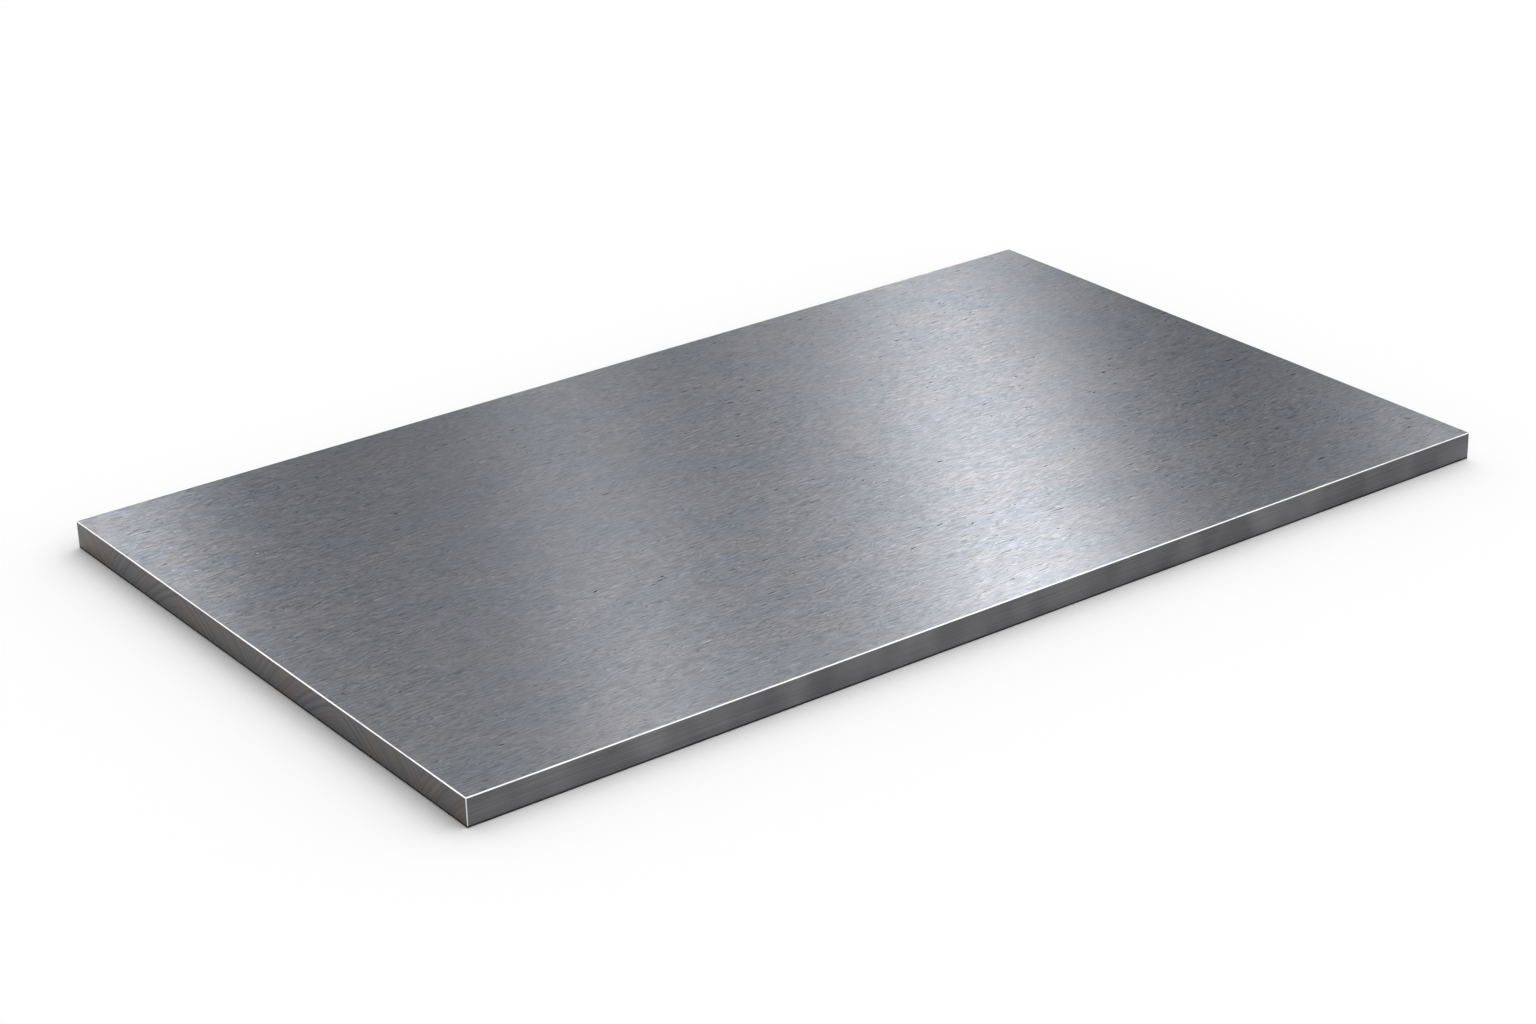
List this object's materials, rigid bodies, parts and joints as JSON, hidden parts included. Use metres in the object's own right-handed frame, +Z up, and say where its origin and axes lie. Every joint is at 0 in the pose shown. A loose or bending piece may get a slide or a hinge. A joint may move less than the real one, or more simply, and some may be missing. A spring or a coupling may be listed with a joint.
{
  "type": "steel plate",
  "caption": "Flat rectangular brushed steel plate, cut square from rolled stock, with level faces, square sides and lightly rounded edges and corners.",
  "frame": {"origin": "middle of the underside", "axes": "+X along the length and the brush lines, +Y across the width, +Z up out of the top face"},
  "size_m": [0.5, 0.3, 0.012],
  "materials": {
    "brushed_steel": "brushed along the length, with bright filed edges"
  },
  "bodies": {
    "root": {"steel_plate": "brushed_steel"}
  },
  "joints": []
}
